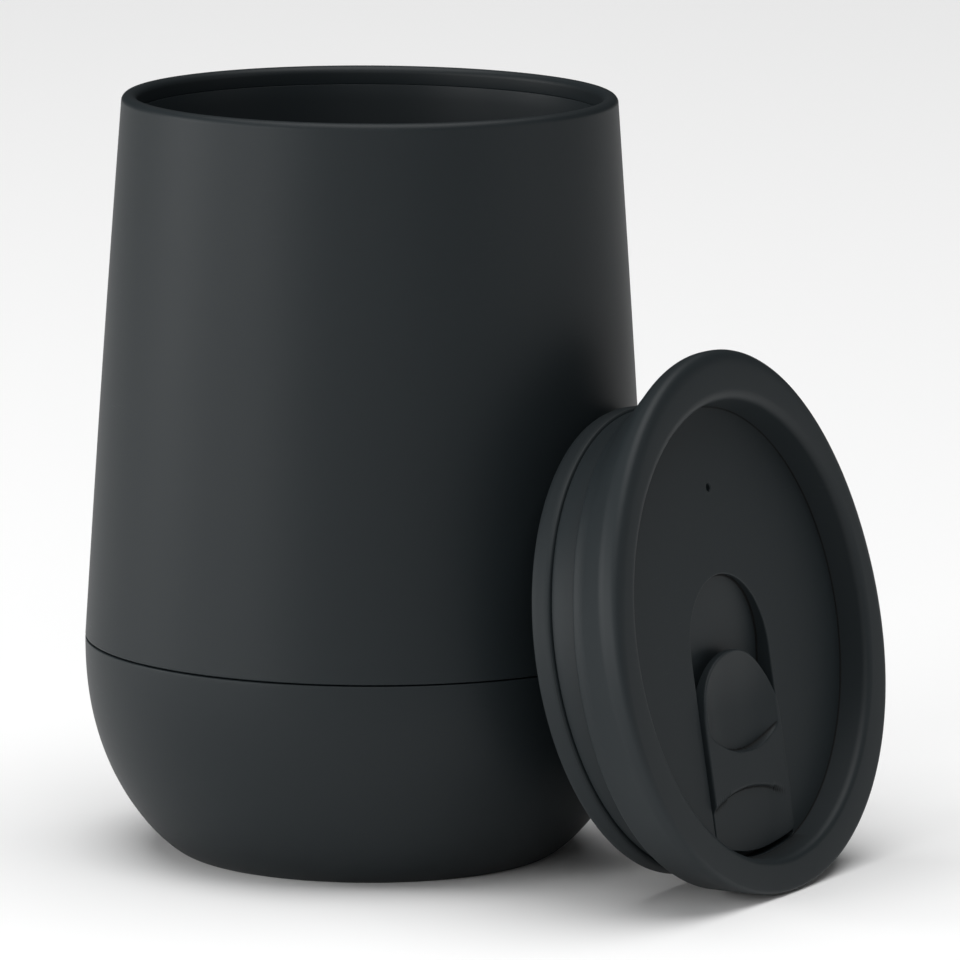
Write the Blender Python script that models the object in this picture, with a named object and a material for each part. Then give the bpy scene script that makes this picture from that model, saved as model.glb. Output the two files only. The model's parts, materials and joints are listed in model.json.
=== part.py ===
"""Double-walled drinks tumbler with its slide-closure lid leaning beside it.

Units are metres, +Z is up, and the origin is the centre of the cup's flat underside.
The lid leans along +X. In the lid's own frame X runs towards the drinking side,
Z points out of its top, and Z = 0 is the sunk floor of the lid.
"""

import math

import bmesh
import bpy
from mathutils import Matrix, Vector

MM = 0.001

# Cup, outside
CUP_HEIGHT = 114.1 * MM
RIM_RADIUS = 37.0 * MM
WIDEST_RADIUS = 42.5 * MM
SEAM_HEIGHT = 32.3 * MM
SLEEVE_BULGE = 0.16 * MM
BASE_RADIUS = 28.3 * MM
BASE_SIDE_POWER = 1.25
BASE_BOTTOM_POWER = 2.29

# Cup, walls and joints
SLEEVE_WALL = 1.15 * MM
BASE_WALL = 2.0 * MM
LINER_WALL = 1.0 * MM
RIM_ROUND = 0.8 * MM
MOUTH_RADIUS = RIM_RADIUS - 2.3 * MM
RIM_BAND = 2.7 * MM
LINER_FOOT_RADIUS = 31.0 * MM
LINER_CORNER = 13.0 * MM
LINER_FLOOR = 8.5 * MM
LAP_HEIGHT = 5.0 * MM
LAP_WALL = 1.4 * MM
SEAM_GAP = 0.3 * MM
FIT_GAP = 0.3 * MM

# Lid, lip and recess
LIP_RADIUS = RIM_RADIUS + 3.4 * MM
LIP_OFFSET = -1.2 * MM
LIP_WIDENING = 2.6 * MM
LIP_WAIST = 0.8 * MM
RECESS_RADIUS = RIM_RADIUS - 3.6 * MM
RECESS_DRAFT = 0.7 * MM
RECESS_DEPTH = 4.1 * MM
FRONT_RISE = 0.3 * MM
BACK_RISE = 1.1 * MM
BACK_ROUND = 2.2 * MM
FRONT_ROUND = 0.9 * MM
LIP_EDGE = 1.0 * MM
FLOOR_THICKNESS = 1.8 * MM
SEAT_DEPTH = 5.2 * MM
SIDE_SEAT = -1.4 * MM
FRONT_SEAT = 0.6 * MM
VENT_RADIUS = 0.6 * MM
VENT_PLACE = -21.5 * MM

# Lid, skirt and seal
SKIRT_CLEARANCE = 0.5 * MM
SKIRT_WALL = 2.0 * MM
SKIRT_DEPTH = 12.6 * MM
SEAL_HEIGHT = 2.6 * MM
SEAL_GROOVE = 1.1 * MM
SEAL_SQUEEZE = 0.1 * MM
SEAL_LIP = 0.9 * MM

# Slider and its track
SLIDER_HALF_WIDTH = 11.2 * MM
SLIDER_REAR = 2.6 * MM
SLIDER_TRAVEL = 9.0 * MM
SLIDER_PROUD = 0.65 * MM
SLIDER_FRONT_GAP = 0.8 * MM
SIDE_GAP = 0.4 * MM
TRACK_REAR = SLIDER_REAR - SLIDER_TRAVEL - 2.2 * MM
TRACK_RAMP_END = TRACK_REAR + 17.6 * MM
TRACK_STEP = 0.8 * MM
TRACK_DEPTH = 2.9 * MM
TRACK_WALL = 1.6 * MM
TRACK_FRONT = RECESS_RADIUS - 0.1 * MM
DISH_HALF_LENGTH = 7.4 * MM
DISH_PLACE = SLIDER_REAR + 0.4 * MM + DISH_HALF_LENGTH
DISH_HALF_WIDTH = SLIDER_HALF_WIDTH - 1.7 * MM
DISH_DEPTH = 1.4 * MM
STEP_PLACE = RECESS_RADIUS - 10.6 * MM
STEP_DROP = 0.85 * MM
POUR_PLACE = RECESS_RADIUS - 6.4 * MM
POUR_HALF_LENGTH = 3.0 * MM
POUR_HALF_WIDTH = 8.0 * MM
PAD_THICKNESS = 0.7 * MM
PAD_HALF_WIDTH = SLIDER_HALF_WIDTH - 1.4 * MM
PAD_REAR = STEP_PLACE - 0.3 * MM
POST_HALF_LENGTH = 1.6 * MM
POST_HALF_WIDTH = 2.0 * MM
POST_PLACE = STEP_PLACE - 2.5 * MM
POST_DEPTH = 1.2 * MM
KEEPER_HALF_LENGTH = 4.2 * MM
KEEPER_HALF_WIDTH = 6.5 * MM
KEEPER_THICKNESS = 1.2 * MM

# How the lid stands beside the cup
LEAN = math.radians(11.3)
LID_TURN = -0.06
LID_SIDE_SHIFT = 3.2 * MM
FLOOR_CLEARANCE = 0.1 * MM
LEAN_GAP = 0.6 * MM

CUP_STEPS = 48
LID_STEPS = 60
CUTTER_REACH = 6.0 * MM


def material(name, colour, roughness):
    """A plain Principled material."""
    mat = bpy.data.materials.new(name)
    mat.use_nodes = True
    shader = mat.node_tree.nodes["Principled BSDF"]
    shader.inputs["Base Color"].default_value = (*colour, 1.0)
    shader.inputs["Roughness"].default_value = roughness
    shader.inputs["Metallic"].default_value = 0.0
    return mat


def add_object(name, bm, mat=None):
    """Turn a bmesh into a named, smooth-shaded object."""
    bmesh.ops.recalc_face_normals(bm, faces=bm.faces)
    mesh = bpy.data.meshes.new(name)
    bm.to_mesh(mesh)
    bm.free()
    mesh.shade_smooth()
    mesh.set_sharp_from_angle(angle=math.radians(40))
    obj = bpy.data.objects.new(name, mesh)
    bpy.context.scene.collection.objects.link(obj)
    if mat:
        mesh.materials.append(mat)
    return obj


def boolean(target, cutter, operation):
    """Join or cut with the exact solver; the cutter stays as a hidden guide."""
    step = target.modifiers.new(cutter.name, "BOOLEAN")
    step.operation = operation
    step.object = cutter
    cutter.hide_render = True
    cutter.display_type = "WIRE"


def lathe(name, outline, mat, steps=CUP_STEPS):
    """Spin an outline of (radius, height) points about Z; it closes on the axis or on itself."""
    bm = bmesh.new()
    verts = [bm.verts.new((r, 0.0, z)) for r, z in outline]
    edges = [bm.edges.new(pair) for pair in zip(verts, verts[1:])]
    if outline[0][0] > 0.0:
        edges.append(bm.edges.new((verts[-1], verts[0])))
    bmesh.ops.spin(bm, geom=verts + edges, cent=(0, 0, 0), axis=(0, 0, 1),
                   angle=math.tau, steps=steps, use_merge=True)
    bmesh.ops.remove_doubles(bm, verts=bm.verts, dist=1e-6)
    return add_object(name, bm, mat)


def arc(centre_r, centre_z, radius, start, end, count):
    """Points on an arc in the (radius, height) plane; angles in degrees from +radius."""
    points = []
    for i in range(count + 1):
        a = math.radians(start + (end - start) * i / count)
        points.append((centre_r + radius * math.cos(a), centre_z + radius * math.sin(a)))
    return points


def sleeve_radius(z):
    """Outer radius above the seam: a straight taper with a very slight swell."""
    t = (z - SEAM_HEIGHT) / (CUP_HEIGHT - SEAM_HEIGHT)
    straight = WIDEST_RADIUS + (RIM_RADIUS - WIDEST_RADIUS) * t
    return straight + SLEEVE_BULGE * math.sin(math.pi * min(max(t, 0.0), 1.0))


def base_point(angle, inset=0.0):
    """Outer curve below the seam, a superellipse quarter from the seam to the underside."""
    swing = WIDEST_RADIUS - BASE_RADIUS
    r = BASE_RADIUS + swing * max(math.cos(angle), 0.0) ** (2 / BASE_SIDE_POWER)
    z = SEAM_HEIGHT * (1.0 - math.sin(angle) ** (2 / BASE_BOTTOM_POWER))
    height = (SEAM_HEIGHT - inset) / SEAM_HEIGHT
    return r - inset, inset + z * height


def cup_outer_radius(z):
    """Outer radius of the whole cup at height z."""
    if z >= SEAM_HEIGHT:
        return sleeve_radius(z)
    t = (1.0 - max(z, 0.0) / SEAM_HEIGHT) ** (BASE_BOTTOM_POWER / 2)
    return base_point(math.asin(min(t, 1.0)))[0]


def smoothstep(low, high, value):
    """Zero below low, one above high, and smooth between."""
    t = min(max((value - low) / (high - low), 0.0), 1.0)
    return t * t * (3.0 - 2.0 * t)


def build_sleeve(mat):
    """Upper outer wall, from the seam to the rolled rim."""
    foot = SEAM_HEIGHT + SEAM_GAP / 2
    band_foot = CUP_HEIGHT - RIM_BAND
    top = CUP_HEIGHT - RIM_ROUND
    heights = [foot + (top - foot) * i / 8 for i in range(9)]
    outside = [(sleeve_radius(z), z) for z in heights]
    roll_in = MOUTH_RADIUS + FIT_GAP + RIM_ROUND
    roll_out = sleeve_radius(top) - RIM_ROUND
    rim = arc(roll_out, top, RIM_ROUND, 0, 90, 4)[1:]
    rim += arc(roll_in, top, RIM_ROUND, 90, 180, 4)
    inner_band = roll_in - RIM_ROUND
    inside = [(inner_band, band_foot), (sleeve_radius(band_foot) - SLEEVE_WALL, band_foot)]
    inside += [(sleeve_radius(z) - SLEEVE_WALL, z) for z in heights[-2:0:-1]]
    inside.append((sleeve_radius(foot) - SLEEVE_WALL, foot))
    return lathe("outer_sleeve", outside + rim + inside, mat)


def build_base(mat):
    """Lower outer shell: rounded, flat underneath, with a lap that enters the sleeve."""
    shoulder = SEAM_HEIGHT - SEAM_GAP / 2
    count = 12
    angles = [math.pi / 2 * i / count for i in range(count + 1)]
    outside = [base_point(a) for a in angles]
    outside[0] = (sleeve_radius(SEAM_HEIGHT), shoulder)
    lap_outer = sleeve_radius(SEAM_HEIGHT + LAP_HEIGHT) - SLEEVE_WALL - FIT_GAP
    lap_inner = lap_outer - LAP_WALL
    lap_top = SEAM_HEIGHT + LAP_HEIGHT
    lap = [(0.0, BASE_WALL)]
    inner = [base_point(a, BASE_WALL) for a in angles[1:]]
    inner = [(r, z) for r, z in inner if r < lap_inner]
    lap += list(reversed(inner))
    lap += [(lap_inner, shoulder - LAP_HEIGHT / 2), (lap_inner, lap_top), (lap_outer, lap_top)]
    lap.append((lap_outer, shoulder))
    return lathe("base_shell", lap + outside + [(0.0, 0.0)], mat)


def build_liner(mat):
    """Inner cup: hangs from the rim band, tapers down to a rounded floor."""
    top = CUP_HEIGHT - RIM_BAND - FIT_GAP
    corner_z = LINER_FLOOR + LINER_CORNER
    corner_r = LINER_FOOT_RADIUS - LINER_CORNER
    inner = [(0.0, LINER_FLOOR)] + arc(corner_r, corner_z, LINER_CORNER, -90, 0, 6)
    inner += [(LINER_FOOT_RADIUS + (MOUTH_RADIUS - LINER_FOOT_RADIUS) * t, corner_z + (top - corner_z) * t)
              for t in (0.33, 0.67, 0.9, 1.0)]
    outer = [(r + LINER_WALL, z) for r, z in reversed(inner[-4:])]
    outer[0] = (sleeve_radius(top) - SLEEVE_WALL - FIT_GAP, top)
    outer += list(reversed(arc(corner_r, corner_z, LINER_CORNER + LINER_WALL, -90, 0, 6)))
    outer.append((0.0, LINER_FLOOR - LINER_WALL))
    return lathe("liner_cup", inner + outer, mat)


def skirt_radius():
    """Outside radius of the lid's skirt, clear of the mouth."""
    return MOUTH_RADIUS - SKIRT_CLEARANCE


def lip_radius(phi):
    """Outside radius of the lip: a little wider beside the drinking side and narrower beside the back."""
    return LIP_RADIUS + math.sin(phi) ** 2 * (LIP_WIDENING * math.cos(phi) - LIP_WAIST)


def lid_section(phi):
    """Outline of the lid at angle phi from the drinking side, as (radius, height, centre shift)."""
    facing = math.cos(phi)
    front = smoothstep(-0.35, 0.85, facing)
    top = RECESS_DEPTH + FRONT_RISE * front + BACK_RISE * (1.0 - facing) / 2
    lip = lip_radius(phi)
    roll = BACK_ROUND + (FRONT_ROUND - BACK_ROUND) * front
    ridge = RECESS_RADIUS + RECESS_DRAFT
    skirt = skirt_radius()
    hem = RIM_RADIUS + SIDE_SEAT + (FRONT_SEAT - SIDE_SEAT) * front
    hem_z = -SEAT_DEPTH
    points = [(0.0, 0.0, 0.0), (RECESS_RADIUS * 0.5, 0.0, 0.0), (RECESS_RADIUS - 0.7 * MM, 0.0, 0.0)]
    points.append((RECESS_RADIUS - 0.1 * MM, 0.3 * MM, 0.0))
    points.append((RECESS_RADIUS + 0.3 * MM, 1.0 * MM, 0.0))
    points.append((ridge - 0.2 * MM, top - 0.8 * MM, 0.0))
    points.append((ridge + 0.2 * MM, top - 0.2 * MM, 0.0))
    points.append((ridge + 0.9 * MM, top, 0.0))
    for a in (88, 62, 36, 12):
        t = math.radians(a)
        points.append((lip - roll * (1 - math.cos(t)), top - roll * (1 - math.sin(t)), LIP_OFFSET))
    edge_z = top - roll - LIP_EDGE
    reach = lip - 0.2 * MM - hem
    drop = edge_z - hem_z
    points.append((hem + reach, edge_z, LIP_OFFSET))
    hollow = 0.16 * (1.0 - front)
    for t in (0.82, 0.55, 0.28):
        points.append((hem + reach * (t - hollow * (1.0 - t)), hem_z + drop * t, LIP_OFFSET * t))
    points.append((hem, hem_z + 0.4 * MM, 0.0))
    points.append((hem - 0.35 * MM, hem_z, 0.0))
    groove_top = -(SKIRT_DEPTH - SEAL_HEIGHT - SEAL_LIP / 2)
    points.append((skirt, hem_z, 0.0))
    points.append((skirt, groove_top, 0.0))
    points.append((skirt - SEAL_GROOVE, groove_top, 0.0))
    points.append((skirt - SEAL_GROOVE, -SKIRT_DEPTH + SEAL_LIP, 0.0))
    points.append((skirt - 0.2 * MM, -SKIRT_DEPTH + SEAL_LIP, 0.0))
    points.append((skirt - 0.2 * MM, -SKIRT_DEPTH, 0.0))
    inner = skirt - SKIRT_WALL
    points.append((inner, -SKIRT_DEPTH, 0.0))
    points.append((inner, -FLOOR_THICKNESS, 0.0))
    points.append((0.0, -FLOOR_THICKNESS, 0.0))
    return points


def loft_round(name, section, steps, mat):
    """Closed solid from an outline that changes as it goes round; both ends meet on the axis."""
    bm = bmesh.new()
    rings = []
    for i in range(steps):
        phi = math.tau * i / steps
        outline = section(phi)
        rings.append([bm.verts.new((r * math.cos(phi) + shift, r * math.sin(phi), z))
                      for r, z, shift in outline[1:-1]])
    first = bm.verts.new((0.0, 0.0, section(0.0)[0][1]))
    last = bm.verts.new((0.0, 0.0, section(0.0)[-1][1]))
    for ring, after in zip(rings, rings[1:] + rings[:1]):
        bm.faces.new((first, ring[0], after[0]))
        bm.faces.new((last, after[-1], ring[-1]))
        for k in range(len(ring) - 1):
            bm.faces.new((ring[k], ring[k + 1], after[k + 1], after[k]))
    return add_object(name, bm, mat)


def strip_solid(name, stations, mat=None):
    """Solid through stations (place, half width, low, high) along X; a zero width closes to an edge."""
    bm = bmesh.new()
    loops = []
    for x, half, low, high in stations:
        corners = [(x, -half, low), (x, half, low), (x, half, high), (x, -half, high)]
        loops.append([bm.verts.new(corner) for corner in corners])
    for one, two in zip(loops, loops[1:]):
        for k in range(4):
            bm.faces.new((one[k], one[(k + 1) % 4], two[(k + 1) % 4], two[k]))
    bm.faces.new(loops[0])
    bm.faces.new(loops[-1])
    return add_object(name, bm, mat)


def front_arc_half_width(x, radius, full):
    """Half width at x of an outline that ends on a circle about the lid's centre."""
    return min(full, math.sqrt(max(radius * radius - x * x, 0.0)))


def plan_stations(tip, full, front_radius, low, high, breaks=(), end_width=0.6 * MM):
    """Stations of a plate whose rear end is a half circle and whose front end lies on a wider circle."""
    places = [tip + full * (1 - math.cos(math.pi / 2 * i / 10)) for i in range(11)]
    swing = math.asin(full / front_radius)
    places += [front_radius * math.cos(swing * (1 - i / 6)) for i in range(7)]
    places += list(breaks)
    stations = []
    for x in sorted(places):
        half = full
        if x < tip + full:
            half = math.sqrt(max(full * full - (tip + full - x) ** 2, 0.0))
        half = front_arc_half_width(x, front_radius, half)
        stations.append((x, max(half, end_width), low(x), high(x)))
    return stations


def track_floor(x):
    """Height of the track's bottom: a ramp from the rear end, then level."""
    t = min(max((x - TRACK_REAR) / (TRACK_RAMP_END - TRACK_REAR), 0.0), 1.0)
    return -TRACK_STEP - (TRACK_DEPTH - TRACK_STEP) * t


def slider_underside(x):
    """Height of the slider's underside, which clears the ramp when the slider is fully back."""
    return track_floor(x - SLIDER_TRAVEL) + FIT_GAP


def box(name, low, high, mat=None):
    """Axis-aligned block between two corners."""
    bm = bmesh.new()
    bmesh.ops.create_cube(bm, size=1.0)
    size = Vector(high) - Vector(low)
    centre = (Vector(high) + Vector(low)) / 2
    stretch = Matrix.Diagonal((*size, 1.0))
    bmesh.ops.transform(bm, verts=bm.verts, matrix=Matrix.Translation(centre) @ stretch)
    return add_object(name, bm, mat)


def round_cutter(name, centre, half_x, half_y, low, high, segments):
    """Upright elliptical cylinder."""
    bm = bmesh.new()
    bmesh.ops.create_cone(bm, cap_ends=True, segments=segments, radius1=1.0, radius2=1.0, depth=1.0)
    place = Matrix.Translation((centre, 0.0, (low + high) / 2))
    stretch = Matrix.Diagonal((half_x, half_y, high - low, 1.0))
    bmesh.ops.transform(bm, verts=bm.verts, matrix=place @ stretch)
    return add_object(name, bm)


def build_lid(mat):
    """Lid body with its track, pour opening, guide slot and vent."""
    lid = loft_round("lid_body", lid_section, LID_STEPS, mat)
    full = SLIDER_HALF_WIDTH + SIDE_GAP
    boss_floor = -TRACK_DEPTH - TRACK_WALL
    boss_front = skirt_radius() - SKIRT_WALL / 2
    boss = strip_solid("track_boss", plan_stations(
        TRACK_REAR - TRACK_WALL, full + TRACK_WALL, boss_front,
        lambda x: boss_floor, lambda x: -FLOOR_THICKNESS / 2))
    track = strip_solid("track_cut", plan_stations(
        TRACK_REAR, full, TRACK_FRONT, track_floor, lambda x: CUTTER_REACH / 3, (TRACK_RAMP_END,)))
    low = boss_floor - 1.0 * MM
    high = -TRACK_DEPTH + 1.0 * MM
    pour = round_cutter("pour_cut", POUR_PLACE, POUR_HALF_LENGTH, POUR_HALF_WIDTH, low, high, 32)
    slot_rear = POST_PLACE - POST_HALF_LENGTH - SLIDER_TRAVEL - 2 * FIT_GAP
    slot_front = POST_PLACE + POST_HALF_LENGTH + FIT_GAP
    slot_half = POST_HALF_WIDTH + FIT_GAP
    slot = box("guide_cut", (slot_rear, -slot_half, low), (slot_front, slot_half, high))
    vent = round_cutter("vent_cut", VENT_PLACE, VENT_RADIUS, VENT_RADIUS, -CUTTER_REACH, CUTTER_REACH, 16)
    boolean(lid, boss, "UNION")
    for cutter in (track, pour, slot, vent):
        boolean(lid, cutter, "DIFFERENCE")
    return lid, [boss, track, pour, slot, vent]


def seal_outline():
    """Soft ring in the skirt's groove, with an outward lip that wipes the mouth."""
    groove = skirt_radius() - SEAL_GROOVE
    top = -(SKIRT_DEPTH - SEAL_HEIGHT - SEAL_LIP / 2) - FIT_GAP
    held = -SKIRT_DEPTH + SEAL_LIP + FIT_GAP
    reach = MOUTH_RADIUS + SEAL_SQUEEZE
    low = -SKIRT_DEPTH - 0.1 * MM
    skirt = skirt_radius()
    proud = reach - skirt
    points = [(groove + FIT_GAP, held), (groove + FIT_GAP, top), (skirt + 0.4 * proud, top)]
    points += [(skirt + 0.85 * proud, top - 0.35 * MM), (reach, top - 0.9 * MM), (reach, low + 0.8 * MM)]
    points += [(skirt + 0.85 * proud, low + 0.25 * MM), (skirt + 0.5 * proud, low)]
    points += [(skirt + 0.15 * MM, low), (skirt + 0.15 * MM, held)]
    return points


def build_slider(mat):
    """Slider plate with a thumb dish, a stepped front and pockets underneath."""
    front = TRACK_FRONT - SLIDER_FRONT_GAP
    ramp_end = TRACK_RAMP_END + SLIDER_TRAVEL
    plate = strip_solid("slider", plan_stations(
        SLIDER_REAR, SLIDER_HALF_WIDTH, front, slider_underside, lambda x: SLIDER_PROUD, (ramp_end,)), mat)
    bm = bmesh.new()
    bmesh.ops.create_uvsphere(bm, u_segments=32, v_segments=12, radius=1.0)
    dish_shape = Matrix.Diagonal((DISH_HALF_LENGTH, DISH_HALF_WIDTH, DISH_DEPTH, 1.0))
    dish_place = Matrix.Translation((DISH_PLACE, 0.0, SLIDER_PROUD))
    bmesh.ops.transform(bm, verts=bm.verts, matrix=dish_place @ dish_shape)
    dish = add_object("dish_cut", bm)
    reach = SLIDER_HALF_WIDTH + 2.0 * MM
    beyond = front + 2.0 * MM
    step = box("step_cut", (STEP_PLACE, -reach, SLIDER_PROUD - STEP_DROP),
               (beyond, reach, SLIDER_PROUD + 1.0 * MM))
    roof = pad_top() + FIT_GAP
    belly = box("pad_pocket", (PAD_REAR - FIT_GAP, -reach, -CUTTER_REACH), (beyond, reach, roof))
    half_x = POST_HALF_LENGTH + FIT_GAP
    half_y = POST_HALF_WIDTH + FIT_GAP
    socket = box("post_pocket", (POST_PLACE - half_x, -half_y, -CUTTER_REACH),
                 (POST_PLACE + half_x, half_y, post_top() + FIT_GAP))
    cutters = [dish, step, belly, socket]
    for cutter in cutters:
        boolean(plate, cutter, "DIFFERENCE")
    return plate, cutters


def pad_top():
    """Height of the soft pad's upper face."""
    return -TRACK_DEPTH + FIT_GAP + PAD_THICKNESS


def post_top():
    """Height of the keeper post's end inside the slider."""
    return -TRACK_DEPTH + FIT_GAP + POST_DEPTH


def build_pad(mat):
    """Soft pad under the slider that lies over the pour opening."""
    low = pad_top() - PAD_THICKNESS
    high = pad_top()
    radius = TRACK_FRONT - SLIDER_FRONT_GAP - FIT_GAP
    swing = math.asin(PAD_HALF_WIDTH / radius)
    places = [PAD_REAR] + [radius * math.cos(swing * (1 - i / 6)) for i in range(7)]
    stations = [(x, max(front_arc_half_width(x, radius, PAD_HALF_WIDTH), 0.6 * MM), low, high)
                for x in places]
    return strip_solid("slider_pad", stations, mat)


def build_keeper(mat):
    """Clip under the lid's floor: a plate with a post that plugs into the slider."""
    plate_top = -TRACK_DEPTH - TRACK_WALL - FIT_GAP
    plate_low = plate_top - KEEPER_THICKNESS
    keeper = box("slider_keeper", (POST_PLACE - KEEPER_HALF_LENGTH, -KEEPER_HALF_WIDTH, plate_low),
                 (POST_PLACE + KEEPER_HALF_LENGTH, KEEPER_HALF_WIDTH, plate_top), mat)
    post = box("keeper_post", (POST_PLACE - POST_HALF_LENGTH, -POST_HALF_WIDTH, plate_low + 0.3 * MM),
               (POST_PLACE + POST_HALF_LENGTH, POST_HALF_WIDTH, post_top()))
    boolean(keeper, post, "UNION")
    return keeper, [post]


def lid_turned():
    """How the lid is turned: tipped up to lean on the cup, and rolled a little on its edge."""
    return Matrix.Rotation(math.pi / 2 - LEAN, 3, "Y") @ Matrix.Rotation(LID_TURN, 3, "Z")


def lid_place():
    """Where the lid's centre stands: its lip on the ground, its seal against the cup's wall."""
    turn = lid_turned()
    angles = [math.tau * i / LID_STEPS for i in range(LID_STEPS)]
    lip = [turn @ Vector((r * math.cos(a) + shift, r * math.sin(a), z))
           for a in angles for r, z, shift in lid_section(a)]
    height = FLOOR_CLEARANCE - min(point.z for point in lip)
    seal = [turn @ Vector((r * math.cos(a), r * math.sin(a), z)) for a in angles for r, z in seal_outline()]
    along = WIDEST_RADIUS
    for _ in range(12):
        spare = min(math.hypot(p.x + along, p.y + LID_SIDE_SHIFT) - cup_outer_radius(p.z + height)
                    for p in seal)
        along += LEAN_GAP - spare
    return Vector((along, LID_SIDE_SHIFT, height))


def main():
    for obj in list(bpy.data.objects):
        bpy.data.objects.remove(obj, do_unlink=True)
    shell = material("charcoal_shell", (0.040, 0.048, 0.052), 0.45)
    inside = material("charcoal_liner", (0.036, 0.043, 0.047), 0.38)
    lid_mat = material("charcoal_lid", (0.045, 0.054, 0.058), 0.48)
    soft = material("grey_silicone", (0.040, 0.048, 0.052), 0.60)
    build_sleeve(shell)
    build_base(shell)
    build_liner(inside)

    lid_frame = bpy.data.objects.new("lid_frame", None)
    bpy.context.scene.collection.objects.link(lid_frame)
    lid_frame.location = lid_place()
    lid_frame.rotation_euler = lid_turned().to_euler()
    lid, lid_guides = build_lid(lid_mat)
    seal = lathe("lid_seal", seal_outline(), soft)
    slider, slider_guides = build_slider(lid_mat)
    pad = build_pad(soft)
    keeper, keeper_guides = build_keeper(lid_mat)
    for obj in [lid, seal, slider, pad, keeper] + lid_guides + slider_guides + keeper_guides:
        obj.parent = lid_frame


main()
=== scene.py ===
"""Looks of a double-walled drinks tumbler whose slide-closure lid leans beside it.

Sizes are metres. The cup stands on Z = 0 about the Z axis. The lid and its slider are worked out
in the lid's own frame (u towards the drinking side, v across, w out of the top, with w = 0 on the
sunk floor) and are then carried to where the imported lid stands.
"""

import json
import math

import bpy
import numpy as np
from bpy.props import FloatProperty, FloatVectorProperty, PointerProperty
from bpy.types import Operator, Panel, PropertyGroup
from mathutils import Matrix, Vector


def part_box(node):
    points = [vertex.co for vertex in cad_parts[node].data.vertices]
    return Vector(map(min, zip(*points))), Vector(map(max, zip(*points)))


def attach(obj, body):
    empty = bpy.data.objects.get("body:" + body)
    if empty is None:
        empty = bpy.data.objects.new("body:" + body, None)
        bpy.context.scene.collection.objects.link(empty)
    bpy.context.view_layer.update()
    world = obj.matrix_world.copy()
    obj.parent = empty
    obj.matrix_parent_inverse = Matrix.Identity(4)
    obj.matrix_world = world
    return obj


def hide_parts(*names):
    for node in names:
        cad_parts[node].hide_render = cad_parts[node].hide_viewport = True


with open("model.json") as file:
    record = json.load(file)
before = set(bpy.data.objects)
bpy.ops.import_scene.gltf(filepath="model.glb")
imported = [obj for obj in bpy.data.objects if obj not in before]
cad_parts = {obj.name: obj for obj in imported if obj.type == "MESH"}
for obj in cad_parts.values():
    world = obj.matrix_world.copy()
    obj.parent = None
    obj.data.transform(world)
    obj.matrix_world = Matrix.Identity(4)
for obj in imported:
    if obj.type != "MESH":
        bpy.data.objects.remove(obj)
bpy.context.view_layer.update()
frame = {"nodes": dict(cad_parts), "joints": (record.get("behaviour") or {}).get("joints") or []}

bl_info = {
    "name": "Drinks Tumbler",
    "version": (1, 0, 0),
    "blender": (4, 5, 0),
    "location": "View3D > Sidebar > Tumbler",
    "description": "Double-walled drinks tumbler with its slide-closure lid",
    "category": "Object",
}

SLEEVE_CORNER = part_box("outer_sleeve")[1]
MM = 0.001

# Steps round each surface, and the angle past which shading turns sharp.
TURN_STEPS = 320
LID_STEPS = 384
HOLE_STEPS = 96
CREASE_ANGLE = math.radians(35.0)

# Lines, roundings and clearances between pieces.
SEAM_LINE = 0.2 * MM
BAND_LINE = 0.06 * MM
EDGE_ROUND = 0.22 * MM
SOFT_EDGE = 0.3 * MM
FIT_GAP = 0.3 * MM
POLE_RING = 1.0 * MM

# The cup's walls.
SLEEVE_WALL = 1.15 * MM
SLEEVE_BULGE = 0.16 * MM
BASE_WALL = 2.0 * MM
BASE_SIDE_POWER = 1.25
BASE_BOTTOM_POWER = 2.29
LAP_HEIGHT = 5.0 * MM
LAP_WALL = 1.4 * MM
LINER_WALL = 1.0 * MM
LINER_CORNER = 13.0 * MM

# The lid's lip and skirt, and the seal on it.
LIP_OFFSET = -1.2 * MM
LIP_WIDENING = 2.6 * MM
LIP_WAIST = 0.8 * MM
LIP_EDGE = 1.0 * MM
LIP_TUCK = 0.2 * MM
FLANGE_HOLLOW = 0.16
SKIRT_CLEARANCE = 0.5 * MM
SKIRT_WALL = 2.0 * MM
SKIRT_FILLET = 0.7 * MM
SKIRT_STEP = 0.2 * MM
SEAL_GROOVE = 1.1 * MM
SEAL_HEIGHT = 2.6 * MM
SEAL_LIP = 0.9 * MM
SEAL_SQUEEZE = 0.1 * MM
SEAL_FOOT_GAP = 0.15 * MM

# The track under the slider; HUB is the point from which the rays of both go out.
HUB = np.array([14.0 * MM, 0.0])
FRONT_MARGIN = 0.1 * MM
TRACK_WALL = 1.6 * MM
TRACK_OVERRUN = 2.2 * MM
TRACK_RAMP = 17.6 * MM

# Places along the lid, as distances back from the front of the sunk floor.
POUR_BACK = 6.4 * MM
STEP_BACK = 10.6 * MM
PAD_BACK = 10.9 * MM
POST_BACK = 13.1 * MM

# Openings: half sizes along and across the lid, and depths.
POUR_HALF = (3.0 * MM, 8.0 * MM)
POST_HALF = 1.6 * MM
SLOT_HALF = 2.3 * MM
POCKET_HALF = 10.0 * MM
POCKET_SIDE = 3.0 * MM
POCKET_DEPTH = 0.7 * MM
SOCKET_DEPTH = 0.6 * MM
CUTTER_OVERRUN = 0.6 * MM
BELOW_SLIDER = -8.0 * MM

# The slider's upper face.
DISH_REAR = 0.5 * MM
DISH_NOSE = 6.4 * MM
DISH_WALL_RADIUS = 16.5 * MM
STEP_RADIUS = 27.0 * MM
NOSE_FALL = 0.35 * MM

# How far grain, edges, rubs and creases change a finish: edges by a painted sheen, creases by
# painted shade and roughness.
SPECULAR = 0.22
# Sharp edges are lifted by a painted sheen; rubs are paler from wear.
EDGE_SHEEN, RUB_PALER = 0.6, 0.8
TONE_ROUGHER, EDGE_SMOOTHER, RUB_SMOOTHER, CREASE_ROUGHER = 0.08, 0.05, 0.06, 0.3
# Near-black colour mixed into concave creases as painted shade.
CREASE_SHADE_COLOUR = (0.001, 0.001, 0.001, 1.0)
GRAIN_STRENGTH = 0.35
GRAIN_HEIGHT = 0.02 * MM

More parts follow.
